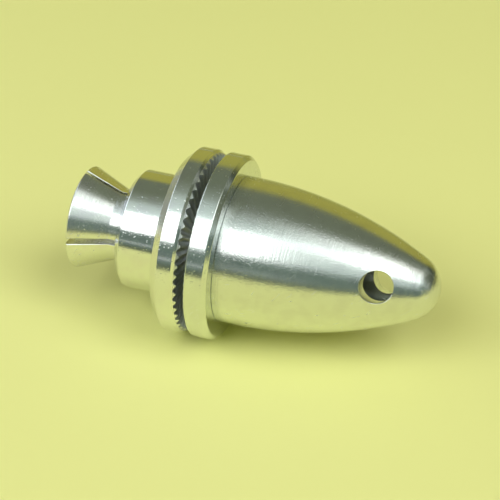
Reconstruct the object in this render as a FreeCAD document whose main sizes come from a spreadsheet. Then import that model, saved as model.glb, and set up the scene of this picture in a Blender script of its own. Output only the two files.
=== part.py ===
"""Collet propeller adapter with a bullet spinner nut.

Frame: +X runs along the shaft axis towards the nose, +Z is up, millimetres.
The origin is the centre of the collet's rear face, the mouth of the motor-shaft bore.
Each sub-part is a PartDesign body drawn from its own rear face, then placed along the shaft.
"""

import FreeCAD, Part
import math
import os
import Sketcher

Vector = FreeCAD.Vector

# Driving dimensions, in millimetres and degrees.
SIZES = {
    # collet and stud
    "collet_rear_dia": 8.95,
    "collet_edge": 0.15,
    "collet_length": 3.37,
    "neck_dia": 6.25,
    "neck_end": 11.0,
    "neck_edge": 0.2,
    "motor_shaft_dia": 4.0,
    "motor_bore_depth": 9.2,
    "slot_width": 0.55,
    "slot_length": 8.0,
    "slot_count": 4,
    "relief_dia": 4.7,
    "relief_end": 12.4,
    "stud_dia": 5.94,
    "stud_end": 21.5,
    # thread shared by the stud and the nut
    "pitch": 1.0,
    "thread_start": 11.8,
    "stud_root_dia": 4.8,
    "root_flat": 0.12,
    "nut_minor_dia": 5.0,
    "nut_major_dia": 6.08,
    "flank_play": 0.06,
    # hub
    "hub_rear": 4.61,
    "boss_dia": 10.3,
    "boss_length": 4.14,
    "boss_chamfer": 0.45,
    "flange_dia": 16.0,
    "flange_bevel": 0.75,
    "rim_width": 1.22,
    "face_chamfer": 0.43,
    "hub_bore_dia": 6.31,
    "taper_mouth_dia": 8.2,
    "recess_dia": 7.4,
    "recess_depth": 0.5,
    "serration_count": 56,
    "serration_depth": 0.22,
    "serration_width": 0.78,
    # washer
    "washer_rear": 11.87,
    "washer_thickness": 1.89,
    "washer_bore_dia": 6.2,
    "washer_rear_edge": 0.12,
    "washer_front_chamfer": 0.36,
    "washer_bore_edge": 0.15,
    # spinner nut
    "spinner_dia": 12.66,
    "spinner_edge": 0.15,
    "spinner_straight": 0.75,
    "spinner_length": 17.8,
    "ogive_radius": 34.0,
    "nose_radius": 2.94,
    "tap_depth": 13.9,
    "nut_thread_depth": 8.8,
    "tap_mouth_dia": 6.5,
    "tommy_dia": 2.7,
    "tommy_station": 13.05,
    "tommy_lean": 64.5,
    # tools
    "drill_point_angle": 118.0,
}

THREAD_HALF_ANGLE = 30.0
# How far a cutting section reaches past the metal that it cuts.
SLOT_OVERCUT = 1.0
THREAD_OVERCUT = 0.2
THREAD_RUN_OUT_TURNS = 1.2
SERRATION_OVERCUT = 0.1
SERRATION_OUTER_OVERCUT = 0.5
SERRATION_INNER_OVERCUT = 0.3


class Size:
    """A length that keeps its value and the sheet expression that it comes from."""

    def __init__(self, value, text):
        self.value = value
        self.text = text

    def _with(self, other, sign, value):
        other_text = other.text if isinstance(other, Size) else repr(float(other))
        return Size(value, "(" + self.text + " " + sign + " " + other_text + ")")

    def __add__(self, other):
        return self._with(other, "+", self.value + number(other))

    def __sub__(self, other):
        return self._with(other, "-", self.value - number(other))

    def __mul__(self, other):
        return self._with(other, "*", self.value * number(other))

    def __truediv__(self, other):
        return self._with(other, "/", self.value / number(other))


def number(item):
    """The plain value of a Size or of a number."""
    return item.value if isinstance(item, Size) else float(item)


def size(name):
    return Size(SIZES[name], "Sizes." + name)


def radius(name):
    return size(name) / 2


def cone_depth(cone_radius):
    """Depth of a drill point of this radius."""
    return cone_radius / math.tan(math.radians(SIZES["drill_point_angle"] / 2))


def make_sheet(doc):
    sheet = doc.addObject("Spreadsheet::Sheet", "Sizes")
    for row, (name, value) in enumerate(SIZES.items(), start=1):
        sheet.set("A" + str(row), name)
        sheet.set("B" + str(row), str(value))
        sheet.setAlias("B" + str(row), name)
    doc.recompute()


def new_body(doc, name):
    body = doc.addObject("PartDesign::Body", name)
    body.Label = name
    return body


def origin_feature(body, role):
    """The body's own origin plane or axis of this role."""
    for feature in body.Origin.OriginFeatures:
        if feature.Role == role:
            return feature
    raise ValueError(role)


def new_sketch(body, role, name):
    sketch = body.newObject("Sketcher::SketchObject", name)
    sketch.AttachmentSupport = [(origin_feature(body, role), "")]
    sketch.MapMode = "FlatFace"
    return sketch


def pin_point(sketch, geometry, end, across, up):
    """Hold one end of a line or arc at (across, up) from the sketch origin."""
    for kind, axis, place in (("DistanceX", -2, across), ("DistanceY", -1, up)):
        if number(place) == 0.0:
            sketch.addConstraint(Sketcher.Constraint("PointOnObject", geometry, end, axis))
            continue
        held = Sketcher.Constraint(kind, -1, 1, geometry, end, number(place))
        index = sketch.addConstraint(held)
        sketch.setExpression("Constraints[" + str(index) + "]", place.text)


def add_polygon(sketch, corners):
    """Closed outline of straight edges through the corners, each corner held in place."""
    points = [Vector(number(across), number(up), 0) for across, up in corners]
    edges = []
    for here, there in zip(points, points[1:] + points[:1]):
        edges.append(sketch.addGeometry(Part.LineSegment(here, there), False))
    for edge, following in zip(edges, edges[1:] + edges[:1]):
        sketch.addConstraint(Sketcher.Constraint("Coincident", edge, 2, following, 1))
    for edge, (across, up) in zip(edges, corners):
        pin_point(sketch, edge, 1, across, up)


def turn(body, sketch, name, kind="PartDesign::Revolution"):
    """Revolve the sketch a full turn about the shaft axis, adding or cutting."""
    feature = body.newObject(kind, name)
    feature.Profile = sketch
    feature.ReferenceAxis = (sketch, ["H_Axis"])
    feature.Angle = 360.0
    sketch.Visibility = False
    return feature


def around(body, feature, name, count):
    """Repeat a feature evenly around the shaft axis and make the result the body's tip."""
    pattern = body.newObject("PartDesign::PolarPattern", name)
    pattern.Originals = [feature]
    pattern.Axis = (origin_feature(body, "X_Axis"), [""])
    pattern.Angle = 360.0
    pattern.setExpression("Occurrences", "Sizes." + count)
    body.Tip = pattern
    return pattern


def cut_thread(body, name, station, height, inner, outer, half_width):
    """Cut a right-hand helical groove whose section spans inner to outer radius."""
    sketch = new_sketch(body, "XZ_Plane", name + "_section")
    corners = [
        (station - half_width(inner), inner),
        (station - half_width(outer), outer),
        (station + half_width(outer), outer),
        (station + half_width(inner), inner),
    ]
    add_polygon(sketch, corners)
    helix = body.newObject("PartDesign::SubtractiveHelix", name)
    helix.Profile = sketch
    helix.ReferenceAxis = (sketch, ["H_Axis"])
    helix.Mode = 0
    helix.Angle = 0.0
    helix.LeftHanded = False
    helix.setExpression("Pitch", "Sizes.pitch")
    helix.Height = number(height)
    helix.setExpression("Height", height.text)
    sketch.Visibility = False
    body.Tip = helix


def stud_groove_half_width(at_radius):
    """Half width of the stud's groove: a narrow root flat and 30 degree flanks."""
    slope = math.tan(math.radians(THREAD_HALF_ANGLE))
    return (at_radius - radius("stud_root_dia")) * slope + size("root_flat") / 2


def nut_groove_half_width(at_radius):
    """Half width of the nut's groove: the stud's tooth with play on each flank."""
    return size("pitch") / 2 + size("flank_play") - stud_groove_half_width(at_radius)


def make_collet_shaft(doc):
    """Split collet, neck and M6 stud, turned from one bar."""
    body = new_body(doc, "collet_shaft")
    collet_radius = radius("collet_rear_dia")
    neck_radius = radius("neck_dia")
    stud_radius = radius("stud_dia")
    relief_radius = radius("relief_dia")
    centre = Size(0.0, "0")
    lead = stud_radius - relief_radius
    neck_edge = size("neck_edge")
    profile = new_sketch(body, "XZ_Plane", "shaft_profile")
    add_polygon(profile, [
        (centre, centre),
        (centre, collet_radius - size("collet_edge")),
        (size("collet_edge"), collet_radius),
        (size("collet_length"), neck_radius),
        (size("neck_end"), neck_radius),
        (size("neck_end") + neck_edge, neck_radius - neck_edge),
        (size("neck_end") + neck_edge, relief_radius),
        (size("relief_end"), relief_radius),
        (size("relief_end") + lead, stud_radius),
        (size("stud_end") - lead, stud_radius),
        (size("stud_end"), relief_radius),
        (size("stud_end"), centre),
    ])
    turn(body, profile, "shaft_turned")

    bore = new_sketch(body, "XZ_Plane", "motor_bore_profile")
    shaft_radius = radius("motor_shaft_dia")
    add_polygon(bore, [
        (centre, centre),
        (centre, shaft_radius),
        (size("motor_bore_depth"), shaft_radius),
        (size("motor_bore_depth") + cone_depth(shaft_radius), centre),
    ])
    turn(body, bore, "motor_bore", "PartDesign::Groove")

    slot_sketch = new_sketch(body, "YZ_Plane", "slot_section")
    half_slot = size("slot_width") / 2
    add_polygon(slot_sketch, [
        (half_slot * -1, centre),
        (half_slot, centre),
        (half_slot, collet_radius + SLOT_OVERCUT),
        (half_slot * -1, collet_radius + SLOT_OVERCUT),
    ])
    slot = body.newObject("PartDesign::Pocket", "slot")
    slot.Profile = slot_sketch
    slot.Reversed = True
    slot.Length = SIZES["slot_length"]
    slot.setExpression("Length", "Sizes.slot_length")
    slot_sketch.Visibility = False
    around(body, slot, "slots", "slot_count")

    run_out = size("pitch") * THREAD_RUN_OUT_TURNS
    reach = size("stud_end") + run_out - size("thread_start")
    cut_thread(
        body, "stud_thread", size("thread_start"), reach,
        radius("stud_root_dia"), stud_radius + THREAD_OVERCUT, stud_groove_half_width,
    )
    return body


def make_drive_hub(doc):
    """Boss and flange, with a taper that closes the collet and a serrated drive face."""
    body = new_body(doc, "drive_hub")
    start = Size(0.0, "0")
    boss_radius = radius("boss_dia")
    flange_radius = radius("flange_dia")
    bore_radius = radius("hub_bore_dia")
    mouth_radius = radius("taper_mouth_dia")
    rim_start = size("boss_length") + size("flange_bevel")
    rim_end = rim_start + size("rim_width")
    face = rim_end + size("face_chamfer")
    collet_rise = radius("collet_rear_dia") - radius("neck_dia")
    collet_slope = collet_rise / (size("collet_length") - size("collet_edge"))
    profile = new_sketch(body, "XZ_Plane", "hub_profile")
    add_polygon(profile, [
        (start, mouth_radius),
        (start, boss_radius - size("boss_chamfer")),
        (size("boss_chamfer"), boss_radius),
        (size("boss_length"), boss_radius),
        (size("boss_length"), flange_radius - size("flange_bevel")),
        (rim_start, flange_radius),
        (rim_end, flange_radius),
        (face, flange_radius - size("face_chamfer")),
        (face, radius("recess_dia")),
        (face - size("recess_depth"), radius("recess_dia")),
        (face - size("recess_depth"), bore_radius),
        ((mouth_radius - bore_radius) / collet_slope, bore_radius),
    ])
    turn(body, profile, "hub_turned")
    cut_serrations(body, face, flange_radius)
    body.setExpression("Placement.Base.x", "Sizes.hub_rear")
    return body


def serration_sketch(body, name, face, distance, flange_radius):
    """Triangular section of one serration, scaled with its distance from the axis."""
    sketch = new_sketch(body, "XY_Plane", name)
    sketch.AttachmentOffset = FreeCAD.Placement(Vector(0, 0, number(distance)), FreeCAD.Rotation())
    sketch.setExpression("AttachmentOffset.Base.z", distance.text)
    share = distance / flange_radius
    above = share * SERRATION_OVERCUT
    half_width = size("serration_width") * share / 2
    proud = half_width * above / (size("serration_depth") * share)
    add_polygon(sketch, [
        (face - size("serration_depth") * share, Size(0.0, "0")),
        (face + above, half_width + proud),
        (face + above, (half_width + proud) * -1),
    ])
    return sketch


def cut_serrations(body, face, flange_radius):
    """Radial V grooves that widen and deepen outwards, so every land is a narrow wedge."""
    outer = flange_radius + SERRATION_OUTER_OVERCUT
    inner = radius("recess_dia") - SERRATION_INNER_OVERCUT
    outside = serration_sketch(body, "serration_outer", face, outer, flange_radius)
    inside = serration_sketch(body, "serration_inner", face, inner, flange_radius)
    groove = body.newObject("PartDesign::SubtractiveLoft", "serration")
    groove.Profile = outside
    groove.Sections = [inside]
    groove.Ruled = True
    outside.Visibility = False
    inside.Visibility = False
    around(body, groove, "serrations", "serration_count")


def make_prop_washer(doc):
    """Thick plain washer that presses the propeller against the drive face."""
    body = new_body(doc, "prop_washer")
    start = Size(0.0, "0")
    outer = radius("flange_dia")
    inner = radius("washer_bore_dia")
    thickness = size("washer_thickness")
    bore_edge = size("washer_bore_edge")
    profile = new_sketch(body, "XZ_Plane", "washer_profile")
    add_polygon(profile, [
        (start, inner + bore_edge),
        (start, outer - size("washer_rear_edge")),
        (size("washer_rear_edge"), outer),
        (thickness - size("washer_front_chamfer"), outer),
        (thickness, outer - size("washer_front_chamfer")),
        (thickness, inner + bore_edge),
        (thickness - bore_edge, inner),
        (bore_edge, inner),
    ])
    turn(body, profile, "washer_turned")
    body.setExpression("Placement.Base.x", "Sizes.washer_rear")
    return body


def bullet_profile(body):
    """Half outline of the bullet: short straight, long ogive arc, small tangent nose arc."""
    sketch = new_sketch(body, "XZ_Plane", "bullet_profile")
    base_radius = SIZES["spinner_dia"] / 2
    straight = SIZES["spinner_straight"]
    long_radius = SIZES["ogive_radius"]
    nose_radius = SIZES["nose_radius"]
    length = SIZES["spinner_length"]
    edge = SIZES["spinner_edge"]
    ogive_centre = Vector(straight, base_radius - long_radius, 0)
    nose_centre = Vector(length - nose_radius, 0, 0)
    aim = math.atan2(nose_centre.y - ogive_centre.y, nose_centre.x - ogive_centre.x)
    up = Vector(0, 0, 1)
    axis_line = Part.LineSegment(Vector(length, 0, 0), Vector(0, 0, 0))
    base_line = Part.LineSegment(Vector(0, 0, 0), Vector(0, base_radius - edge, 0))
    edge_line = Part.LineSegment(Vector(0, base_radius - edge, 0), Vector(edge, base_radius, 0))
    side_line = Part.LineSegment(Vector(edge, base_radius, 0), Vector(straight, base_radius, 0))
    ogive = Part.ArcOfCircle(Part.Circle(ogive_centre, up, long_radius), aim, math.pi / 2)
    nose = Part.ArcOfCircle(Part.Circle(nose_centre, up, nose_radius), 0.0, aim)
    axis_id, base_id, edge_id, side_id, ogive_id, nose_id = sketch.addGeometry(
        [axis_line, base_line, edge_line, side_line, ogive, nose], False
    )
    hold = Sketcher.Constraint
    sketch.addConstraint([
        hold("Coincident", axis_id, 2, base_id, 1),
        hold("Coincident", base_id, 2, edge_id, 1),
        hold("Coincident", edge_id, 2, side_id, 1),
        hold("Tangent", side_id, 2, ogive_id, 2),
        hold("Tangent", ogive_id, 1, nose_id, 2),
        hold("Coincident", nose_id, 1, axis_id, 1),
        hold("PointOnObject", nose_id, 3, -1),
    ])
    pin_point(sketch, axis_id, 1, size("spinner_length"), Size(0.0, "0"))
    pin_point(sketch, base_id, 1, Size(0.0, "0"), Size(0.0, "0"))
    pin_point(sketch, base_id, 2, Size(0.0, "0"), radius("spinner_dia") - size("spinner_edge"))
    pin_point(sketch, edge_id, 2, size("spinner_edge"), radius("spinner_dia"))
    pin_point(sketch, side_id, 2, size("spinner_straight"), radius("spinner_dia"))
    rounding = sketch.addConstraint(hold("Radius", nose_id, nose_radius))
    sketch.setExpression("Constraints[" + str(rounding) + "]", "Sizes.nose_radius")
    return sketch


def make_spinner_nut(doc):
    """Bullet nut: tapped from the rear, with a cross hole for a tommy bar."""
    body = new_body(doc, "spinner_nut")
    start = Size(0.0, "0")
    turn(body, bullet_profile(body), "bullet_turned")

    bore = new_sketch(body, "XZ_Plane", "tap_drill_profile")
    minor = radius("nut_minor_dia")
    mouth = radius("tap_mouth_dia")
    add_polygon(bore, [
        (start, start),
        (start, mouth),
        (mouth - minor, minor),
        (size("tap_depth"), minor),
        (size("tap_depth") + cone_depth(minor), start),
    ])
    turn(body, bore, "tap_drill", "PartDesign::Groove")

    # The nut's groove receives the stud's tooth, half a pitch on from the stud's groove.
    lean_shift = size("pitch") * size("tommy_lean") / 360
    nut_rear = size("washer_rear") + size("washer_thickness")
    station = size("thread_start") + size("pitch") / 2 - nut_rear + lean_shift
    cut_thread(
        body, "nut_thread", station, size("nut_thread_depth") - station,
        minor - THREAD_OVERCUT, radius("nut_major_dia"), nut_groove_half_width,
    )

    hole = new_sketch(body, "XY_Plane", "tommy_section")
    middle = Vector(SIZES["tommy_station"], 0, 0)
    hole_radius = SIZES["tommy_dia"] / 2
    circle = hole.addGeometry(Part.Circle(middle, Vector(0, 0, 1), hole_radius), False)
    pin_point(hole, circle, 3, size("tommy_station"), start)
    bound = hole.addConstraint(Sketcher.Constraint("Radius", circle, hole_radius))
    hole.setExpression("Constraints[" + str(bound) + "]", "Sizes.tommy_dia / 2")
    cross = body.newObject("PartDesign::Pocket", "tommy_hole")
    cross.Profile = hole
    cross.Type = 1
    cross.Midplane = True
    hole.Visibility = False
    body.Tip = cross

    spin = FreeCAD.Rotation(Vector(1, 0, 0), SIZES["tommy_lean"])
    body.Placement = FreeCAD.Placement(Vector(number(nut_rear), 0, 0), spin)
    body.setExpression("Placement.Base.x", nut_rear.text)
    return body


def check_document(doc, bodies):
    """Stop before anything is written if any object failed or any solid is unsound."""
    for item in doc.Objects:
        for word in ("Invalid", "Error"):
            if word in item.State:
                raise RuntimeError(item.Name + " is " + word)
    for body in bodies:
        shape = body.Shape
        if shape.isNull() or not shape.isValid() or len(shape.Solids) != 1:
            raise RuntimeError(body.Label + " isn't one valid solid")
        print(body.Label, "volume", round(shape.Volume, 2), "mm3")


def main():
    doc = FreeCAD.newDocument("PropAdapter")
    make_sheet(doc)
    makers = (make_collet_shaft, make_drive_hub, make_prop_washer, make_spinner_nut)
    bodies = [make(doc) for make in makers]
    doc.recompute()
    check_document(doc, bodies)
    os.makedirs("parts", exist_ok=True)
    for body in bodies:
        body.Shape.exportStep("parts/" + body.Label + ".step")


main()
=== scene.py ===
"""Looks for the collet propeller adapter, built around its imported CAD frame.

Lengths are millimetres while a piece is being built, and metres once it is a Blender object.
An outline is drawn in the (x, r) half plane: x along the shaft axis, r the distance from it. It is
walked with the metal on its right, so that the surface faces left of the walk.
"""

import math

import bmesh
import bpy
import numpy as np
from mathutils import Matrix, Vector


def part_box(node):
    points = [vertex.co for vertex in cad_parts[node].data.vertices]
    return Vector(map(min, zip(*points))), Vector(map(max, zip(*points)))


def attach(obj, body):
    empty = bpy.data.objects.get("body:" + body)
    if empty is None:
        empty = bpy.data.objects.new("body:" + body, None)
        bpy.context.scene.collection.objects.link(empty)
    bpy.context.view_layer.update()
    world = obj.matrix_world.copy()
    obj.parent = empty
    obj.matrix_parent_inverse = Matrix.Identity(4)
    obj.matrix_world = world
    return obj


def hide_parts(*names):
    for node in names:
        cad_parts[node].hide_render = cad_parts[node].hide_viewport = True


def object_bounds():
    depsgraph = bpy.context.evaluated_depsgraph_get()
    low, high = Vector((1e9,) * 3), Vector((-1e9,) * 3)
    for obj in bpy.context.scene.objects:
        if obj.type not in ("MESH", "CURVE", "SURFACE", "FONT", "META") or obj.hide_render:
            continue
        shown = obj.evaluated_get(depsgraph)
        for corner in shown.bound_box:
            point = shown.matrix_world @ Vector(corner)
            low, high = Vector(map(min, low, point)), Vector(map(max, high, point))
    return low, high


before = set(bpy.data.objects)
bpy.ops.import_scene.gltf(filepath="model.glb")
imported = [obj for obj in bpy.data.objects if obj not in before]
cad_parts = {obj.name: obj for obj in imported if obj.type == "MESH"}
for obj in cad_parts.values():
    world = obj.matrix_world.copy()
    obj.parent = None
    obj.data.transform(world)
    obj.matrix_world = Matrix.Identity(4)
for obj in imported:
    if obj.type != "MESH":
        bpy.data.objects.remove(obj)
cad_low, cad_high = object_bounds()

MM = 0.001


# ---------------------------------------------------------------- sizes, in millimetres
def span(node):
    """Rear station, front station and outer radius of a CAD node."""
    low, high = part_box(node)
    return round(low.x / MM, 2), round(high.x / MM, 2), round(high.z / MM, 2)


SHAFT_REAR, STUD_END, _ = span("collet_shaft")
HUB_REAR, HUB_FACE, FLANGE_RADIUS = span("drive_hub")
WASHER_REAR, WASHER_FRONT, WASHER_RADIUS = span("prop_washer")
NUT_REAR, NUT_TIP, NUT_RADIUS = span("spinner_nut")

# collet and stud
COLLET_RADIUS = 4.475
COLLET_EDGE = 0.15
COLLET_END = 3.37
NECK_RADIUS = 3.125
COLLET_SLOPE = (COLLET_RADIUS - NECK_RADIUS) / (COLLET_END - COLLET_EDGE)
NECK_END = 11.0
NECK_EDGE = 0.2
MOTOR_BORE_RADIUS = 2.0
MOTOR_BORE_DEPTH = 9.2
SLOT_HALF = 0.275
SLOT_END = 8.0
SLOT_LEAN = 2.0  # degrees that the slots stand round from level
SLOT_SQUEEZE = (0.0, 0.1, 0.0, 0.05)  # what each slot lacks of its half width
RELIEF_RADIUS = 2.35
RELIEF_END = 12.4
STUD_RADIUS = 2.97

# thread
PITCH = 1.0
THREAD_START = 11.8
STUD_ROOT = 2.4
ROOT_HALF = 0.06
NUT_MINOR = 2.5
NUT_MAJOR = 3.04
FLANK_PLAY = 0.06
FLANK_SLOPE = math.tan(math.radians(30))
ROOT_ROUND = 0.02
CREST_ROUND = 0.03
THREAD_RUNOUT = 0.6

# hub
BOSS_RADIUS = 5.15
BOSS_LENGTH = 4.14
BOSS_CHAMFER = 0.45
FLANGE_BEVEL = 0.75
RIM_WIDTH = 1.22
FACE_CHAMFER = 0.43
HUB_BORE = 3.155
TAPER_MOUTH = 4.1
RECESS_RADIUS = 3.7
RECESS_DEPTH = 0.5
TEETH = 56
TOOTH_DEPTH = 0.22
TOOTH_WIDTH = 0.78
TIP_ROUND = 0.015

# washer
WASHER_BORE = 3.1
WASHER_REAR_EDGE = 0.12
WASHER_FRONT_CHAMFER = 0.36
WASHER_BORE_EDGE = 0.15
WASHER_SEAM = 5.0

# spinner nut, measured from its rear face
NUT_STRAIGHT = 0.75
NUT_EDGE = 0.08
OGIVE_RADIUS = 34.0
NOSE_RADIUS = 2.94
TAP_DEPTH = 13.9
TAP_MOUTH = 3.25
THREAD_DEPTH = 8.8
TOMMY_RADIUS = 1.35
TOMMY_STATION = 13.05
TOMMY_LEAN = 64.5
TOMMY_EDGE = 0.04

# fillets of the edges, and what the pieces share
FINE_ROUND = 0.05
EDGE_ROUND = 0.08
SOFT_ROUND = 0.1
CHAMFER_ROUND = 0.16
DRILL_SLOPE = math.tan(math.radians(31))
COLUMNS = 256


# ---------------------------------------------------------------- outlines
class Outline:
    """A walk in the (x, r) half plane that remembers the surface normal at each end of each step."""

    def __init__(self, x, r):
        self.points = [(x, r)]
        self.steps = []

    def step(self, x, r, normal_here, normal_there):
        self.steps.append((self.points[-1], (x, r), normal_here, normal_there))
        self.points.append((x, r))

    def line(self, x, r):
        here_x, here_r = self.points[-1]
        length = math.hypot(x - here_x, r - here_r)
        normal = (-(r - here_r) / length, (x - here_x) / length)
        self.step(x, r, normal, normal)

    def arc(self, centre, radius, start, end, pieces):
        """Arc between two angles seen from its centre: a falling angle is a bulge, a rising one a hollow."""
        facing = 1 if end < start else -1
        for k in range(1, pieces + 1):
            a, b = (start + (end - start) * (k + i) / pieces for i in (-1, 0))
            there = (centre[0] + radius * math.cos(b), centre[1] + radius * math.sin(b))
            self.step(*there, *((facing * math.cos(q), facing * math.sin(q)) for q in (a, b)))


def walk(corners, pieces=4):
    """Outline through corners (x, r, fillet): a corner with a fillet is rounded to that radius."""
    outline = Outline(*corners[0][:2])
    for before, corner, after in zip(corners, corners[1:], corners[2:]):
        here = np.array(corner[:2], float)
        into = here - np.array(before[:2], float)
        away = np.array(after[:2], float) - here
        into /= np.linalg.norm(into)
        away /= np.linalg.norm(away)
        turn = math.atan2(into[0] * away[1] - into[1] * away[0], float(into @ away))
        if corner[2] == 0:
            outline.line(*here)
            continue
        back = corner[2] * math.tan(abs(turn) / 2)
        side = math.copysign(1, turn)
        first = here - into * back
        centre = first + side * corner[2] * np.array((-into[1], into[0]))
        start = math.atan2(first[1] - centre[1], first[0] - centre[0])
        outline.line(*first)
        outline.arc(centre, corner[2], start, start + turn, pieces)
    outline.line(*corners[-1][:2])
    return outline


# ---------------------------------------------------------------- meshes
def ring(x, r, angles):
    """One turn of points. x and r are numbers or one value for each angle."""
    x = np.broadcast_to(np.asarray(x, float), angles.shape)
    return np.stack([x, r * np.cos(angles), r * np.sin(angles)], axis=1)


def even_angles(columns=COLUMNS):
    return np.arange(columns) * (2 * math.pi / columns)


def skin(shell, rings, closed=False):
    """Add faces between successive rings to a bmesh. A ring of radius zero becomes one point."""
    rows = []
    for points in rings:
        if np.abs(points[:, 1:]).max() < 1e-6:
            rows.append([shell.verts.new(points[0])] * len(points))
        else:
            rows.append([shell.verts.new(p) for p in points])
    pairs = list(zip(rows, rows[1:] + rows[:1])) if closed else list(zip(rows, rows[1:]))
    for row, following in pairs:
        for j in range(len(row)):
            k = (j + 1) % len(row)
            corners = list(dict.fromkeys([row[j], row[k], following[k], following[j]]))
            if len(corners) > 2:
                shell.faces.new(corners)


def helix_skin(shell, start, end, phases, radius_at, angles):
    """A tube between two stations whose rows follow the thread, so crests and roots stay crisp."""
    turns = range(math.floor(start / PITCH) - 2, math.ceil(end / PITCH) + 2)
    stations = np.array([(k + phase) * PITCH for k in turns for phase in phases])
    per_turn = len(phases)
    rows = []
    for station in stations:
        x = np.clip(station + PITCH * angles / (2 * math.pi), start, end)
        points = ring(x, radius_at(x, angles), angles)
        rows.append([shell.verts.new(p) for p in points])
    for i in range(len(rows) - 1):
        for j in range(len(angles)):
            here = (rows[i][j], rows[i + 1][j])
            if j + 1 < len(angles):
                there = (rows[i][j + 1], rows[i + 1][j + 1])
            elif i + 1 + per_turn < len(rows):
                there = (rows[i + per_turn][0], rows[i + 1 + per_turn][0])
            else:
                continue
            shell.faces.new((here[0], there[0], there[1], here[1]))


def sealed(shell, name):
    """Weld the bmesh into one closed skin that faces outwards and return it as an object in millimetres."""
    bmesh.ops.remove_doubles(shell, verts=shell.verts[:], dist=0.0004)
    bmesh.ops.dissolve_degenerate(shell, edges=shell.edges[:], dist=0.0004)
    loose = [v for v in shell.verts if not v.link_faces]
    bmesh.ops.delete(shell, geom=loose, context="VERTS")
    bmesh.ops.recalc_face_normals(shell, faces=shell.faces[:])
    mesh = bpy.data.meshes.new(name)
    shell.to_mesh(mesh)
    shell.free()
    return bpy.data.objects.new(name, mesh)


def cut(piece, cutter):
    """Subtract the cutter from the piece, then drop it."""
    for item in (piece, cutter):
        bpy.context.scene.collection.objects.link(item)
    difference = piece.modifiers.new("cut", "BOOLEAN")
    difference.operation = "DIFFERENCE"
    difference.solver = "EXACT"
    difference.object = cutter
    evaluated = piece.evaluated_get(bpy.context.evaluated_depsgraph_get())
    result = bpy.data.meshes.new_from_object(evaluated)
    piece.modifiers.remove(difference)
    piece.data = result
    for item in (piece, cutter):
        bpy.context.scene.collection.objects.unlink(item)
    bpy.data.objects.remove(cutter)


def outline_normals(mesh, steps, limit=0.003, agree=0.9):
    """Corner normals: exact where a corner lies on the turned outline, smoothed by angle elsewhere."""
    mesh.shade_smooth()
    mesh.set_sharp_from_angle(angle=math.radians(28))
    count = len(mesh.loops)
    normals = np.zeros(count * 3, np.float32)
    mesh.corner_normals.foreach_get("vector", normals)
    normals = normals.reshape(-1, 3).astype(float)
    vertex = np.zeros(count, np.int32)
    mesh.loops.foreach_get("vertex_index", vertex)
    places = np.zeros(len(mesh.vertices) * 3, np.float32)
    mesh.vertices.foreach_get("co", places)
    places = places.reshape(-1, 3)[vertex].astype(float)
    flats = np.zeros(len(mesh.polygons) * 3, np.float32)
    mesh.polygon_normals.foreach_get("vector", flats)
    totals = np.zeros(len(mesh.polygons), np.int32)
    mesh.polygons.foreach_get("loop_total", totals)
    facing = np.repeat(flats.reshape(-1, 3).astype(float), totals, axis=0)
    r = np.hypot(places[:, 1], places[:, 2])
    around = places[:, 1:] / np.maximum(r, 1e-6)[:, None]
    facing_r = (facing[:, 1:] * around).sum(1)
    best = np.full(count, agree)
    for (x0, r0), (x1, r1), n0, n1 in steps:
        dx, dr = x1 - x0, r1 - r0
        share = np.clip(((places[:, 0] - x0) * dx + (r - r0) * dr) / (dx * dx + dr * dr), 0, 1)
        near = np.hypot(x0 + share * dx - places[:, 0], r0 + share * dr - r) < limit
        nx = n0[0] + (n1[0] - n0[0]) * share
        nr = n0[1] + (n1[1] - n0[1]) * share
        size = np.hypot(nx, nr)
        nx, nr = nx / size, nr / size
        match = facing[:, 0] * nx + facing_r * nr
        chosen = near & (match > best) & (r > 1e-3)
        best[chosen] = match[chosen]
        normals[chosen, 0] = nx[chosen]
        normals[chosen, 1:] = around[chosen] * nr[chosen, None]
    mesh.normals_split_custom_set(normals.tolist())


def place(piece, outline, body, node, slot):
    """Finish the piece's normals, bring it to metres and let it stand for its CAD node."""
    outline_normals(piece.data, outline.steps)
    piece.data.transform(Matrix.Scale(MM, 4))
    bpy.context.scene.collection.objects.link(piece)
    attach(piece, body)
    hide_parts(node)
    return piece


# ---------------------------------------------------------------- washer
def make_washer():
    """Thick washer with a soft front chamfer."""
    outer, bore = WASHER_RADIUS, WASHER_BORE
    corners = [
        (WASHER_REAR, WASHER_SEAM, 0),
        (WASHER_REAR, outer - WASHER_REAR_EDGE, FINE_ROUND),
        (WASHER_REAR + WASHER_REAR_EDGE, outer, EDGE_ROUND),
        (WASHER_FRONT - WASHER_FRONT_CHAMFER, outer, CHAMFER_ROUND),
        (WASHER_FRONT, outer - WASHER_FRONT_CHAMFER, CHAMFER_ROUND),
        (WASHER_FRONT, bore + WASHER_BORE_EDGE, FINE_ROUND),
        (WASHER_FRONT - WASHER_BORE_EDGE, bore, FINE_ROUND),
        (WASHER_REAR + WASHER_BORE_EDGE, bore, FINE_ROUND),
        (WASHER_REAR, bore + WASHER_BORE_EDGE, FINE_ROUND),
        (WASHER_REAR, WASHER_SEAM, 0),
    ]
    outline = walk(corners)
    shell = bmesh.new()
    angles = even_angles()
    skin(shell, [ring(x, r, angles) for x, r in outline.points[:-1]], closed=True)
    return place(sealed(shell, "propeller_washer"), outline, "washer", "prop_washer", "polished_aluminium")


# ---------------------------------------------------------------- hub
def tooth_columns():
    """Angles of the hub's columns, and the depth of the round-bottomed groove at each, at the rim."""
    half = TOOTH_WIDTH / 2 / FLANGE_RADIUS
    period = 2 * math.pi / TEETH
    soft = 0.05 * half
    marks = [0, half * 0.2, half * 0.4, half * 0.6, half * 0.8, half - soft, half, half + soft, period / 2]
    marks += [period - m for m in reversed(marks[1:-1])]
    depths = [TOOTH_DEPTH * math.cos(math.pi / 2 * min(1, m / half, (period - m) / half)) for m in marks]
    angles = np.concatenate([np.array(marks) + k * period for k in range(TEETH)])
    return angles, np.tile(depths, TEETH)


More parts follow.
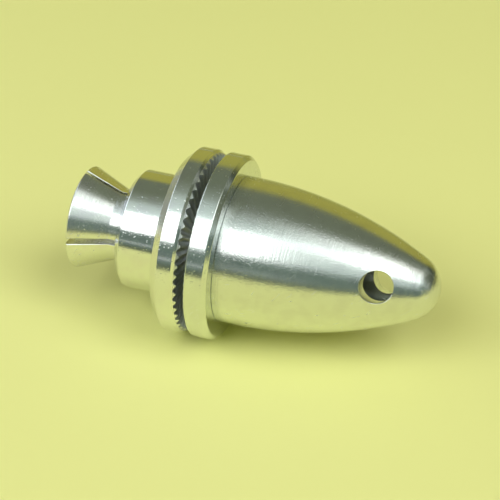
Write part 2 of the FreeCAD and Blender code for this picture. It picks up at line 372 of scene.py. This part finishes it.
def soft_min(a, b, reach):
    """The lower of two surfaces, with their meeting edge rounded over reach."""
    share = np.clip(0.5 + (b - a) / (2 * reach), 0, 1)
    return b + (a - b) * share - reach * share * (1 - share)


def make_hub():
    """Boss, flange and serrated drive face."""
    rim_start = HUB_REAR + BOSS_LENGTH + FLANGE_BEVEL
    rim_end = rim_start + RIM_WIDTH
    flange_rear = HUB_REAR + BOSS_LENGTH
    taper_end = HUB_REAR + (TAPER_MOUTH - HUB_BORE) / COLLET_SLOPE
    corners = [
        (HUB_FACE, RECESS_RADIUS, 0),
        (HUB_FACE - RECESS_DEPTH, RECESS_RADIUS, 0),
        (HUB_FACE - RECESS_DEPTH, HUB_BORE, FINE_ROUND),
        (taper_end, HUB_BORE, 0),
        (HUB_REAR, TAPER_MOUTH, 0.06),
        (HUB_REAR, BOSS_RADIUS - BOSS_CHAMFER, SOFT_ROUND),
        (HUB_REAR + BOSS_CHAMFER, BOSS_RADIUS, SOFT_ROUND),
        (flange_rear, BOSS_RADIUS, FINE_ROUND),
        (flange_rear, FLANGE_RADIUS - FLANGE_BEVEL, SOFT_ROUND),
        (rim_start, FLANGE_RADIUS, 0.07),
        (rim_end, FLANGE_RADIUS, 0),
        (rim_end + 0.001, FLANGE_RADIUS, 0),
    ]
    outline = walk(corners)
    angles, depth = tooth_columns()
    rings = [ring(x, r, angles) for x, r in outline.points[1:-1]]
    meeting = (FLANGE_RADIUS - FACE_CHAMFER) / (1 - depth / FLANGE_RADIUS)
    spread = 2 * TIP_ROUND
    for share in (1, 0.4, 0, -0.4, -1):
        rings.append(face_ring(meeting + spread * share, rim_end, angles, depth))
    for share in (0.75, 0.5, 0.25, 0):
        r = RECESS_RADIUS + (meeting - spread - RECESS_RADIUS) * share
        rings.append(face_ring(r, rim_end, angles, depth))
    shell = bmesh.new()
    skin(shell, rings, closed=True)
    outline.steps = outline.steps[:-1]
    return place(sealed(shell, "serrated_drive_hub"), outline, "hub", "drive_hub", "polished_aluminium")


def face_ring(r, rim_end, angles, depth):
    """Points of the serrated face at radius r, with its rim chamfer."""
    serrated = HUB_FACE - depth * r / FLANGE_RADIUS
    chamfer = rim_end + FLANGE_RADIUS - r
    return ring(soft_min(serrated, chamfer, TIP_ROUND), r, angles)


# ---------------------------------------------------------------- threads
def thread_offset(x, angles):
    """Distance along the axis from the middle of the stud's groove, from 0 to half a pitch."""
    turns = (x - THREAD_START) / PITCH - (angles - math.pi / 2) / (2 * math.pi)
    return np.abs(turns - np.round(turns)) * PITCH


def stud_radius_at(x, angles):
    """Radius of the threaded stud, with its relief groove and lead chamfers."""
    thread = STUD_ROOT + np.maximum(thread_offset(x, angles) - ROOT_HALF, 0) / FLANK_SLOPE
    plain = np.minimum(RELIEF_RADIUS + np.maximum(x - RELIEF_END, 0), RELIEF_RADIUS + STUD_END - x)
    return soft_min(np.minimum(plain, STUD_RADIUS), thread, CREST_ROUND)


def nut_radius_at(x, angles):
    """Radius of the tapped hole, with its mouth chamfer and a runout at the end of the thread."""
    from_groove = 0.5 * PITCH - thread_offset(x, angles)
    room = 0.5 * PITCH + FLANK_PLAY - ROOT_HALF - from_groove
    thread = np.minimum(STUD_ROOT + room / FLANK_SLOPE, NUT_MAJOR)
    depth = x - NUT_REAR
    fade = np.clip((THREAD_DEPTH - depth) / THREAD_RUNOUT, 0, 1)
    plain = np.maximum(TAP_MOUTH - depth, NUT_MINOR)
    return np.maximum(plain, NUT_MINOR + (thread - NUT_MINOR) * fade)


def groove_phases():
    """Rows for one pitch: both sides of each flank's foot and crest, from the middle of a groove."""
    centre = (THREAD_START / PITCH - 0.25) % 1.0  # where the groove crosses angle zero, in turns
    crest = (STUD_RADIUS - STUD_ROOT) * FLANK_SLOPE + ROOT_HALF
    marks = (0.0, ROOT_HALF - ROOT_ROUND, ROOT_HALF + ROOT_ROUND,
             crest - CREST_ROUND, crest, crest + CREST_ROUND)
    signed = sorted({round(s * m, 4) for m in marks for s in (-1, 1)})
    return sorted((centre + m) % 1.0 for m in signed)


# ---------------------------------------------------------------- collet and stud
def make_shaft():
    """Split collet, neck and threaded stud in one piece."""
    angles = even_angles()
    corners = [
        (MOTOR_BORE_DEPTH + MOTOR_BORE_RADIUS * DRILL_SLOPE, 0, 0),
        (MOTOR_BORE_DEPTH, MOTOR_BORE_RADIUS, 0),
        (SHAFT_REAR, MOTOR_BORE_RADIUS, EDGE_ROUND),
        (SHAFT_REAR, COLLET_RADIUS - COLLET_EDGE, EDGE_ROUND),
        (COLLET_EDGE, COLLET_RADIUS, EDGE_ROUND),
        (COLLET_END, NECK_RADIUS, 0),
        (NECK_END, NECK_RADIUS, FINE_ROUND),
        (NECK_END + NECK_EDGE, NECK_RADIUS - NECK_EDGE, 0),
        (NECK_END + NECK_EDGE, RELIEF_RADIUS, 0),
        (NECK_END + NECK_EDGE + 0.1, RELIEF_RADIUS, 0),
    ]
    outline = walk(corners)
    thread_from = outline.points[-1][0]
    shell = bmesh.new()
    skin(shell, [ring(x, r, angles) for x, r in outline.points])
    phases = groove_phases()
    helix_skin(shell, thread_from, STUD_END, phases, stud_radius_at, angles)
    skin(shell, [ring(STUD_END, RELIEF_RADIUS, angles), ring(STUD_END, 0, angles)])
    piece = sealed(shell, "split_collet_and_stud")
    for k, squeeze in enumerate(SLOT_SQUEEZE):
        lean = math.radians(90 * k - SLOT_LEAN)
        cut(piece, slot_cutter(lean, SLOT_HALF - squeeze))
    return place(piece, outline, "shaft", "collet_shaft", "turned_aluminium")


def slot_cutter(angle, half_width):
    """Saw slot from the axis outwards, flared where it breaks the cone, the neck and the rear face."""
    edge = 0.008
    stations = [(-1.0, 1.0 + edge), (SHAFT_REAR, edge), (edge, 0.0), (COLLET_END, 0.0), (SLOT_END, 0.0)]
    out = np.array((0, math.cos(angle), math.sin(angle)))
    side = np.array((0, -math.sin(angle), math.cos(angle)))
    rings = []
    for x, flare in stations:
        cone = COLLET_RADIUS - (x - COLLET_EDGE) * COLLET_SLOPE
        surface = math.sqrt(min(max(cone, NECK_RADIUS), COLLET_RADIUS) ** 2 - half_width ** 2)
        half = half_width + flare
        section = [(0.3, -half), (surface - edge, -half), (surface + 1, -half - 1 - edge)]
        section += [(u, -v) for u, v in reversed(section)]
        rings.append([np.array((x, 0, 0)) + out * u + side * v for u, v in section])
    return prism(rings, "slot_cutter")


def prism(rings, name):
    """Closed solid through equal rings of points, with a flat face at each end."""
    shell = bmesh.new()
    rows = [[shell.verts.new(p) for p in points] for points in rings]
    for row, following in zip(rows, rows[1:]):
        for j in range(len(row)):
            k = (j + 1) % len(row)
            shell.faces.new((row[j], row[k], following[k], following[j]))
    shell.faces.new(rows[0])
    shell.faces.new(rows[-1])
    return sealed(shell, name)


# ---------------------------------------------------------------- spinner nut
def bullet_radius(depth):
    """Outer radius of the bullet at a distance from its rear face, short of the nose arc."""
    run = np.maximum(depth - NUT_STRAIGHT, 0)
    return NUT_RADIUS - OGIVE_RADIUS + np.sqrt(OGIVE_RADIUS ** 2 - run ** 2)


def make_nut():
    """Bullet spinner nut, tapped from the rear and cross-drilled near the nose."""
    angles = even_angles()
    tap_end = NUT_REAR + TAP_DEPTH
    thread_end = NUT_REAR + THREAD_DEPTH
    bore = walk([
        (tap_end + NUT_MINOR * DRILL_SLOPE, 0, 0),
        (tap_end, NUT_MINOR, 0),
        (thread_end, NUT_MINOR, 0),
    ])
    ogive_centre = (NUT_REAR + NUT_STRAIGHT, NUT_RADIUS - OGIVE_RADIUS)
    nose_centre = (NUT_TIP - NOSE_RADIUS, 0.0)
    aim = math.atan2(nose_centre[1] - ogive_centre[1], nose_centre[0] - ogive_centre[0])
    bullet = walk([
        (NUT_REAR, TAP_MOUTH, 0),
        (NUT_REAR, NUT_RADIUS, NUT_EDGE),
        (NUT_REAR + NUT_STRAIGHT, NUT_RADIUS, 0),
    ])
    bullet.arc(ogive_centre, OGIVE_RADIUS, math.pi / 2, aim, 72)
    bullet.arc(nose_centre, NOSE_RADIUS, aim, 0.0, 28)
    shell = bmesh.new()
    skin(shell, [ring(x, r, angles) for x, r in bore.points])
    phases = groove_phases()
    helix_skin(shell, NUT_REAR, thread_end, phases, nut_radius_at, angles)
    skin(shell, [ring(x, max(r, 0.0), angles) for x, r in bullet.points])
    piece = sealed(shell, "bullet_spinner_nut")
    cut(piece, tommy_cutter())
    bullet.steps += bore.steps
    return place(piece, bullet, "nut", "spinner_nut", "brushed_aluminium")


def tommy_cutter():
    """Cross hole whose edge break follows the bullet's surface at both ends."""
    lean = math.radians(TOMMY_LEAN)
    along = np.array((0, -math.sin(lean), math.cos(lean)))
    across = np.array((0, math.cos(lean), math.sin(lean)))
    turn = even_angles(128)
    mouth = TOMMY_RADIUS + TOMMY_EDGE

    def level(reach, drop, side):
        """Ring of the cutter at a distance from its axis, at the surface less drop."""
        x = TOMMY_STATION + reach * np.cos(turn)
        t = reach * np.sin(turn)
        x_edge = TOMMY_STATION + mouth * np.cos(turn)
        t_edge = mouth * np.sin(turn)
        height = side * (np.sqrt(bullet_radius(x_edge) ** 2 - t_edge ** 2) - drop)
        points = np.outer(height, along) + np.outer(t, across)
        points[:, 0] += NUT_REAR + x
        return points

    levels = [(mouth + 0.6, -1.6), (mouth + 0.02, -0.05)]
    for degrees in (82, 62, 41, 20, 0):
        a = math.radians(degrees)
        levels.append((mouth - TOMMY_EDGE * math.cos(a), TOMMY_EDGE - TOMMY_EDGE * math.sin(a)))
    rings = [level(reach, drop, 1) for reach, drop in levels]
    rings += [level(reach, drop, -1) for reach, drop in reversed(levels)]
    return prism(rings, "tommy_cutter")


# ---------------------------------------------------------------- shader graphs
class Graph:
    """Short calls for building a shader node tree. Inputs are sockets, numbers or tuples."""

    def __init__(self, owner):
        owner.use_nodes = True
        self.tree = owner.node_tree

    def add(self, kind, values=(), **settings):
        node = self.tree.nodes.new("ShaderNode" + kind)
        for key, value in settings.items():
            setattr(node, key, value)
        for socket, value in dict(values).items():
            self.feed(node.inputs[socket], value)
        return node

    def feed(self, socket, value):
        if isinstance(value, bpy.types.NodeSocket):
            self.tree.links.new(value, socket)
        elif value is not None:
            socket.default_value = value

    def math(self, operation, *values):
        node = self.add("Math", enumerate(values), operation=operation)
        return node.outputs[0]

    def ramp(self, value, low, high, to_low=0.0, to_high=1.0, smooth=True):
        """Value rising from to_low at low to to_high at high, and level beyond both."""
        kind = "SMOOTHSTEP" if smooth else "LINEAR"
        given = {0: value, 1: low, 2: high, 3: to_low, 4: to_high}
        return self.add("MapRange", given, interpolation_type=kind).outputs[0]

    def noise(self, vector, scale, detail=2.0, roughness=0.5):
        given = {"Vector": vector, "Scale": scale, "Detail": detail, "Roughness": roughness}
        return self.add("TexNoise", given).outputs[0]

    def blend(self, share, first, second):
        """Colour that goes from the first to the second."""
        node = self.add("Mix", data_type="RGBA")
        self.feed(node.inputs[0], share)
        for socket, value in ((6, first), (7, second)):
            whole = (*value, 1) if isinstance(value, tuple) and len(value) == 3 else value
            self.feed(node.inputs[socket], whole)
        return node.outputs[2]

    def scaled(self, vector, factors):
        return self.add("VectorMath", {0: vector, 1: factors}, operation="MULTIPLY").outputs[0]


# ---------------------------------------------------------------- metal
# scales are features per millimetre
FINE_RING_SCALE = 7.0
BROAD_RING_SCALE = 1.6
GRAIN_SCALE = 6.5
SMUDGE_SCALE = 0.45
STAIN_SCALE = 0.8
PIT_SCALE = 2.6
DENSE_PIT_SCALE = 5.0
RING_DRIFT = 0.02
MILLED_ROUGHNESS = 0.22
BLEND = 0.02


def line_marks(graph, place_mm, turn, stretch, width):
    """Thin nearly straight lines, where a stretched noise crosses its middle value, kept in patches."""
    turned = graph.add("VectorRotate", {"Vector": place_mm, "Axis": turn[0], "Angle": turn[1]}).outputs[0]
    slow = graph.noise(graph.scaled(turned, stretch), 1.0, 0.0)
    off_middle = graph.math("ABSOLUTE", graph.math("SUBTRACT", slow, 0.5))
    line = graph.ramp(off_middle, 0.0, width, 1.0, 0.0)
    patch = graph.noise(turned, 1.1, 1.0)
    return graph.math("MULTIPLY", line, graph.ramp(patch, 0.60, 0.66))


def pit_marks(graph, place_mm, scale, share, middle, rim):
    """Small round pits in a share of the cells of a Voronoi pattern."""
    cells = graph.add("TexVoronoi", {"Vector": place_mm, "Scale": scale})
    lot = graph.add("SeparateColor", {0: cells.outputs["Color"]}).outputs[0]
    spot = graph.ramp(cells.outputs["Distance"], middle, rim, 1.0, 0.0)
    chosen = graph.ramp(lot, 1 - share - BLEND, 1 - share + BLEND)
    return graph.math("MULTIPLY", chosen, spot)


def metal(name, color, tint, roughness, grain, rings, specks, marks, nicks=0.0, satin=0.0, milled=None):
    """Turned aluminium, whose colour drifts from color to tint in soft stains.

    grain, rings, specks, marks and nicks are heights in micrometres: an even fine grain, the rings
    that the tool left, sparse pits, handling scratches, and dense pits. satin is the anisotropy
    across the rings. milled is the station where cut serrations begin, which are rougher than the
    turned metal.
    """
    material = bpy.data.materials.new(name)
    graph = Graph(material)
    shader = graph.tree.nodes["Principled BSDF"]
    place_mm = graph.scaled(graph.add("TexCoord").outputs["Object"], (1 / MM,) * 3)
    parts = graph.add("SeparateXYZ", {0: place_mm}).outputs
    radius = graph.math("SQRT", graph.math("ADD", graph.math("MULTIPLY", parts[1], parts[1]),
                                           graph.math("MULTIPLY", parts[2], parts[2])))
    drift = graph.math("MULTIPLY", graph.math("ADD", parts[1], parts[2]), RING_DRIFT)
    ring_place = graph.add("CombineXYZ", {0: parts[0], 1: radius, 2: drift}).outputs[0]

    fine_rings = graph.noise(ring_place, FINE_RING_SCALE, 2.0, 0.6)
    broad_rings = graph.noise(ring_place, BROAD_RING_SCALE, 2.0)
    even_grain = graph.noise(place_mm, GRAIN_SCALE, 3.0, 0.8)
    flecks = graph.ramp(graph.noise(place_mm, GRAIN_SCALE, 1.0), 0.58, 0.70)
    smudges = graph.noise(place_mm, SMUDGE_SCALE, 4.0, 0.6)
    pits = pit_marks(graph, place_mm, PIT_SCALE, 0.36, 0.06, 0.20)
    dense_pits = pit_marks(graph, place_mm, DENSE_PIT_SCALE, 0.45, 0.10, 0.35)
    scratches = graph.math(
        "MAXIMUM",
        line_marks(graph, place_mm, ((1.0, 0.2, 0.3), 0.7), (0.12, 1.6, 0.5), 0.02),
        line_marks(graph, place_mm, ((0.2, 0.9, -0.4), 0.9), (0.3, 0.15, 2.2), 0.02),
    )

    rough = graph.math("ADD", roughness * 0.8, graph.math("MULTIPLY", smudges, roughness * 0.4))
    rough = graph.math("ADD", rough, graph.math("MULTIPLY", fine_rings, roughness * 0.15))
    for layer, change in ((flecks, 0.02), (pits, 0.04), (scratches, 0.08), (dense_pits, nicks * 0.02)):
        rough = graph.math("ADD", rough, graph.math("MULTIPLY", layer, change))
    if milled is not None:
        begin, full = milled - BLEND, milled + BLEND
        rough = graph.math("ADD", rough, graph.ramp(parts[0], begin, full, 0.0, MILLED_ROUGHNESS))
    graph.feed(shader.inputs["Roughness"], rough)

    stain = graph.ramp(graph.noise(place_mm, STAIN_SCALE, 3.0), 0.42, 0.68)
    graph.feed(shader.inputs["Base Color"], graph.blend(stain, color, tint))
    shader.inputs["Metallic"].default_value = 1.0

    height = graph.math("MULTIPLY", even_grain, grain)
    layers = ((fine_rings, rings), (broad_rings, rings * 2), (flecks, grain * 0.3),
              (pits, -specks), (scratches, -marks), (dense_pits, -nicks))
    for layer, depth in layers:
        height = graph.math("ADD", height, graph.math("MULTIPLY", layer, depth))
    bump = graph.add("Bump", {"Strength": 1.0, "Distance": MM / 1000, "Height": height})
    graph.feed(shader.inputs["Normal"], bump.outputs[0])
    if satin:
        tangent = graph.add("Tangent", direction_type="RADIAL", axis="X")
        graph.feed(shader.inputs["Tangent"], tangent.outputs[0])
        shader.inputs["Anisotropic"].default_value = satin
        shader.inputs["Anisotropic Rotation"].default_value = 0.25
    return material


# ---------------------------------------------------------------- stage
FLOOR_LEVEL = cad_low.z
FLOOR_REACH = 1.5
BACKDROP_REACH = 1.4
# height of the sheets of painted shade over the paper
SHADE_SHEET_LIFT = 0.4 * MM
PAPER = (0.80, 0.84, 0.335)
FAR_PAPER = (0.63, 0.665, 0.24)


def on_stage(name, shell, material, seen_by):
    """Put a sheet that isn't part of the object into the scene, seen only by some rays."""
    mesh = bpy.data.meshes.new(name)
    shell.to_mesh(mesh)
    shell.free()
    mesh.materials.append(material)
    sheet = bpy.data.objects.new(name, mesh)
    for ray in ("camera", "diffuse", "glossy", "transmission", "volume_scatter", "shadow"):
        setattr(sheet, "visible_" + ray, seen_by == "all" or ray == seen_by)
    bpy.context.scene.collection.objects.link(sheet)


def rectangle(x, y, z):
    """Level sheet between two values of x and two of y, facing up."""
    shell = bmesh.new()
    corners = ((x[0], y[0], z), (x[1], y[0], z), (x[1], y[1], z), (x[0], y[1], z))
    shell.faces.new([shell.verts.new(c) for c in corners])
    return shell


def make_floor():
    """Large sheet of pale yellow paper, and a plain backdrop of the same colour far behind it."""
    paper = bpy.data.materials.new("pale_paper")
    graph = Graph(paper)
    shader = graph.tree.nodes["Principled BSDF"]
    place_mm = graph.scaled(graph.add("TexCoord").outputs["Object"], (1 / MM,) * 3)
    clouds = graph.noise(place_mm, 0.02, 3.0)
    fibres = graph.noise(place_mm, 1.2, 3.0, 0.6)
    graph.feed(shader.inputs["Base Color"], graph.blend(clouds, tuple(c * 0.97 for c in PAPER), PAPER))
    shader.inputs["Roughness"].default_value = 0.8
    bump = graph.add("Bump", {"Strength": 0.5, "Distance": 8 * MM / 1000, "Height": fibres})
    graph.feed(shader.inputs["Normal"], bump.outputs[0])
    across = (-FLOOR_REACH, FLOOR_REACH)
    on_stage("floor", rectangle(across, across, FLOOR_LEVEL), paper, "all")

    shell = bmesh.new()
    bmesh.ops.create_cone(shell, segments=48, radius1=BACKDROP_REACH, radius2=BACKDROP_REACH, depth=3.0)
    on_stage("backdrop", shell, glow("far_paper", FAR_PAPER), "camera")


def glow(name, color):
    """Plain emitting material."""
    material = bpy.data.materials.new(name)
    graph = Graph(material)
    lamp = graph.add("Emission", {"Color": (*color, 1), "Strength": 1.0})
    graph.feed(graph.tree.nodes["Material Output"].inputs[0], lamp.outputs[0])
    return material


# ---------------------------------------------------------------- lights
# What the metal mirrors is a tent of soft cards that only glossy rays see. A place on it is given by
# its rise, the angle above the front horizon (180 is the back horizon), and its sweep towards +X.
# Each card is (rise from, soft, rise to, soft, sweep from, soft, sweep to, soft, colour), in degrees.
# Before the cards come the room's own colours, each blended in over a stretch of rise or sweep.
TENT_RADIUS = 0.45
TENT_FRONT = (0.15, 0.205, 0.165)
TENT_BACK = (0.165, 0.19, 0.125)
BACK_RISE = (40.0, 100.0)
TENT_BACKDROP = (0.41, 0.39, 0.082)
BACKDROP_RISE = (138.0, 150.0)
TENT_LEFT = (0.34, 0.37, 0.30)
LEFT_SWEEP = (-55.0, -68.0)
TENT_NOSE_SIDE = (0.06, 0.075, 0.05)
NOSE_SIDE_RISE = (112.0, 150.0)
NOSE_SIDE_SWEEP = (24.0, 38.0)
TENT_CARDS = (
    ("key", 26.2, 1.4, 61.0, 3.0, -80, 1, 0, 6, (2.3, 2.35, 2.3)),
    ("key_top", 61.0, 3.0, 84.0, 12.0, -22, 2, -10, 4, (0.16, 0.18, 0.18)),
    ("nose", 52.0, 3.0, 94.0, 10.0, 29, 4, 44, 8, (2.2, 2.25, 2.2)),
    ("nose_low", 46.0, 6.0, 52.0, 3.0, 42, 6, 48, 6, (0.5, 0.55, 0.52)),
    ("nose_top", 94.0, 10.0, 108.0, 10.0, 34, 6, 42, 8, (1.5, 1.5, 1.4)),
    ("nose_halo", 54.0, 16.0, 91.0, 14.0, 6, 20, 29, 3, (0.50, 0.52, 0.50)),
    ("nose_back", 106.0, 12.0, 146.0, 12.0, 36, 6, 50, 5, (0.22, 0.24, 0.21)),
    ("fill", 29.0, 18.0, 68.0, 12.0, -5, 5, 52, 8, (0.55, 0.61, 0.58)),
    ("left_window", 62.0, 4.0, 125.0, 20.0, -62, 6, -34, 6, (2.0, 2.2, 2.5)),
    ("window", 3.9, 0.5, 6.6, 0.7, -60, 1, 10, 10, (0.42, 0.42, 0.41)),
)
TENT_FADE = ((62.0, 112.0), (0.50, 0.57, 0.56))


def make_tent():
    """Inside of a ball around the object, coloured by direction."""
    material = bpy.data.materials.new("card_tent")
    graph = Graph(material)
    place = graph.add("TexCoord").outputs["Object"]
    unit = graph.add("VectorMath", {0: place}, operation="NORMALIZE").outputs[0]
    x, y, z = graph.add("SeparateXYZ", {0: unit}).outputs
    degrees = math.degrees(1)
    front = graph.math("MULTIPLY", y, -1.0)
    rise = graph.math("MULTIPLY", graph.math("ARCTAN2", z, front), degrees)
    sweep = graph.math("MULTIPLY", graph.math("ARCSINE", x), degrees)
    color = graph.blend(graph.ramp(rise, *BACK_RISE), TENT_FRONT, TENT_BACK)
    color = graph.blend(graph.ramp(rise, *BACKDROP_RISE), color, TENT_BACKDROP)
    color = graph.blend(graph.ramp(sweep, *LEFT_SWEEP), color, TENT_LEFT)
    nose_side = graph.math("MULTIPLY", graph.ramp(rise, *NOSE_SIDE_RISE), graph.ramp(sweep, *NOSE_SIDE_SWEEP))
    color = graph.blend(nose_side, color, TENT_NOSE_SIDE)
    (fade_from, fade_to), fade_color = TENT_FADE
    falling = graph.math("POWER", graph.ramp(rise, fade_from, fade_to, 1.0, 0.0, smooth=False), 1.7)
    started = graph.ramp(rise, fade_from - 4, fade_from)
    layers = [(graph.math("MULTIPLY", falling, started), fade_color)]
    for _, low, low_soft, high, high_soft, left, left_soft, right, right_soft, radiance in TENT_CARDS:
        share = graph.math("MULTIPLY", graph.ramp(rise, low - low_soft / 2, low + low_soft / 2),
                           graph.ramp(rise, high - high_soft / 2, high + high_soft / 2, 1.0, 0.0))
        for edge, soft, ends in ((left, left_soft, (0.0, 1.0)), (right, right_soft, (1.0, 0.0))):
            side = graph.ramp(sweep, edge - soft / 2, edge + soft / 2, *ends)
            share = graph.math("MULTIPLY", share, side)
        layers.append((share, radiance))
    for share, radiance in layers:
        part = graph.add("VectorMath", {0: radiance}, operation="SCALE")
        graph.feed(part.inputs["Scale"], share)
        color = graph.add("VectorMath", {0: color, 1: part.outputs[0]}, operation="ADD").outputs[0]
    lamp = graph.add("Emission", {"Color": color, "Strength": 1.0})
    graph.feed(graph.tree.nodes["Material Output"].inputs[0], lamp.outputs[0])
    shell = bmesh.new()
    bmesh.ops.create_icosphere(shell, subdivisions=5, radius=TENT_RADIUS)
    on_stage("card_tent", shell, material, "glossy")


def make_shade_sheet(name, axis, span_mm, color, x, y):
    """Sheet just over the paper that only glossy rays see: painted shade, a darker floor in reflections,
    faded in over span_mm of X (0) or Y (1).
    """
    material = bpy.data.materials.new(name)
    graph = Graph(material)
    across = graph.add("SeparateXYZ", {0: graph.add("TexCoord").outputs["Object"]}).outputs[axis]
    share = graph.ramp(across, span_mm[0] * MM, span_mm[1] * MM)
    lamp = graph.add("Emission", {"Color": (*color, 1), "Strength": 1.0})
    clear = graph.add("BsdfTransparent")
    mixed = graph.add("MixShader", {0: share, 1: clear.outputs[0], 2: lamp.outputs[0]})
    graph.feed(graph.tree.nodes["Material Output"].inputs[0], mixed.outputs[0])
    on_stage(name, rectangle(x, y, FLOOR_LEVEL + SHADE_SHEET_LIFT), material, "glossy")


def panel(name, rise, sweep, radiance, color=(1, 1, 1), reach=0.9):
    """Flat softbox with edges along X that lights the scene but isn't mirrored."""
    middle = math.radians(sum(rise) / 2)
    out = Vector((0, -math.cos(middle), math.sin(middle)))
    up = Vector((0, math.sin(middle), math.cos(middle)))
    left, right = (reach * math.tan(math.radians(a)) for a in sweep)
    height = 2 * reach * math.tan(math.radians(rise[1] - rise[0]) / 2)
    data = bpy.data.lights.new(name, "AREA")
    data.shape = "RECTANGLE"
    data.size = right - left
    data.size_y = height
    data.energy = radiance * math.pi * data.size * data.size_y
    data.color = color
    lamp = bpy.data.objects.new(name, data)
    turned = Matrix((Vector((1, 0, 0)), up, out)).transposed().to_4x4()
    lamp.matrix_world = Matrix.Translation(out * reach + Vector(((left + right) / 2, 0, 0))) @ turned
    lamp.visible_camera = False
    lamp.visible_glossy = False
    bpy.context.scene.collection.objects.link(lamp)


def make_lights():
    panel("key_softbox", rise=(28, 60), sweep=(-50, 1), radiance=4.3)
    panel("nose_softbox", rise=(50, 92), sweep=(19, 55), radiance=3.95)
    panel("fill_softbox", rise=(27, 90), sweep=(-12, 55), radiance=0.5, color=(1, 0.95, 0.4))
    world = bpy.data.worlds.new("studio")
    Graph(world).tree.nodes["Background"].inputs["Color"].default_value = (0.085, 0.07, 0.0, 1)
    bpy.context.scene.world = world
    make_tent()
    # Painted shade in what the metal mirrors: in front, to the left and behind, the floor shows darker in
    # reflections than the lit paper.
    make_shade_sheet("front_painted_shade", axis=1, span_mm=(-56, -78), color=(0.125, 0.155, 0.095),
              x=(-0.6, 0.6), y=(-0.6, -0.05))
    make_shade_sheet("left_painted_shade", axis=0, span_mm=(-45, -80), color=(0.36, 0.38, 0.30),
              x=(-0.6, -0.04), y=(-0.05, 0.6))
    make_shade_sheet("back_painted_shade", axis=1, span_mm=(22, 80), color=(0.36, 0.35, 0.075),
              x=(-0.04, 0.6), y=(0.02, 0.6))


# ---------------------------------------------------------------- camera
LENS = 108.0
SENSOR = 36.0
CAMERA_TURN = 16.225
CAMERA_DROP = 33.914
CAMERA_ROLL = 2.975
CAMERA_AIM = Vector((15.045, 0.095, 0.135)) * MM
CAMERA_DISTANCE = 127.266 * MM


def make_camera():
    turn, drop = math.radians(CAMERA_TURN), math.radians(CAMERA_DROP)
    look = Vector((-math.sin(turn) * math.cos(drop), math.cos(turn) * math.cos(drop), -math.sin(drop)))
    data = bpy.data.cameras.new("camera")
    data.lens = LENS
    data.sensor_width = SENSOR
    data.clip_start = 0.005
    data.clip_end = 20
    camera = bpy.data.objects.new("camera", data)
    level = look.to_track_quat("-Z", "Y").to_matrix()
    camera.matrix_world = Matrix.Translation(CAMERA_AIM - look * CAMERA_DISTANCE) @ (
        level @ Matrix.Rotation(math.radians(CAMERA_ROLL), 3, "Z")
    ).to_4x4()
    bpy.context.scene.collection.objects.link(camera)
    bpy.context.scene.camera = camera


# ---------------------------------------------------------------- assembly
turned = metal("turned_aluminium", color=(0.80, 0.81, 0.80), tint=(0.77, 0.76, 0.79), roughness=0.23,
               grain=2.0, rings=10.0, specks=8.0, marks=0.2, satin=0.78)
driver = metal("turned_hub_aluminium", color=(0.78, 0.80, 0.79), tint=(0.76, 0.76, 0.78), roughness=0.11,
               grain=2.5, rings=2.5, specks=9.0, marks=0.2, nicks=5.5, milled=HUB_FACE - TOOTH_DEPTH)
polished = metal("polished_aluminium", color=(0.74, 0.77, 0.76), tint=(0.72, 0.74, 0.74), roughness=0.14,
                 grain=1.8, rings=2.0, specks=8.0, marks=0.2, nicks=6.0)
brushed = metal("brushed_aluminium", color=(0.74, 0.76, 0.75), tint=(0.70, 0.71, 0.71), roughness=0.20,
                grain=7.5, rings=9.0, specks=6.0, marks=0.25, satin=0.75)
for piece, material in (
    (make_shaft(), turned),
    (make_hub(), driver),
    (make_washer(), polished),
    (make_nut(), brushed),
):
    piece.data.materials.append(material)
make_floor()
make_lights()
make_camera()
bpy.context.scene.view_settings.view_transform = "Standard"
bpy.context.scene.cycles.max_bounces = 16
bpy.context.scene.cycles.glossy_bounces = 14
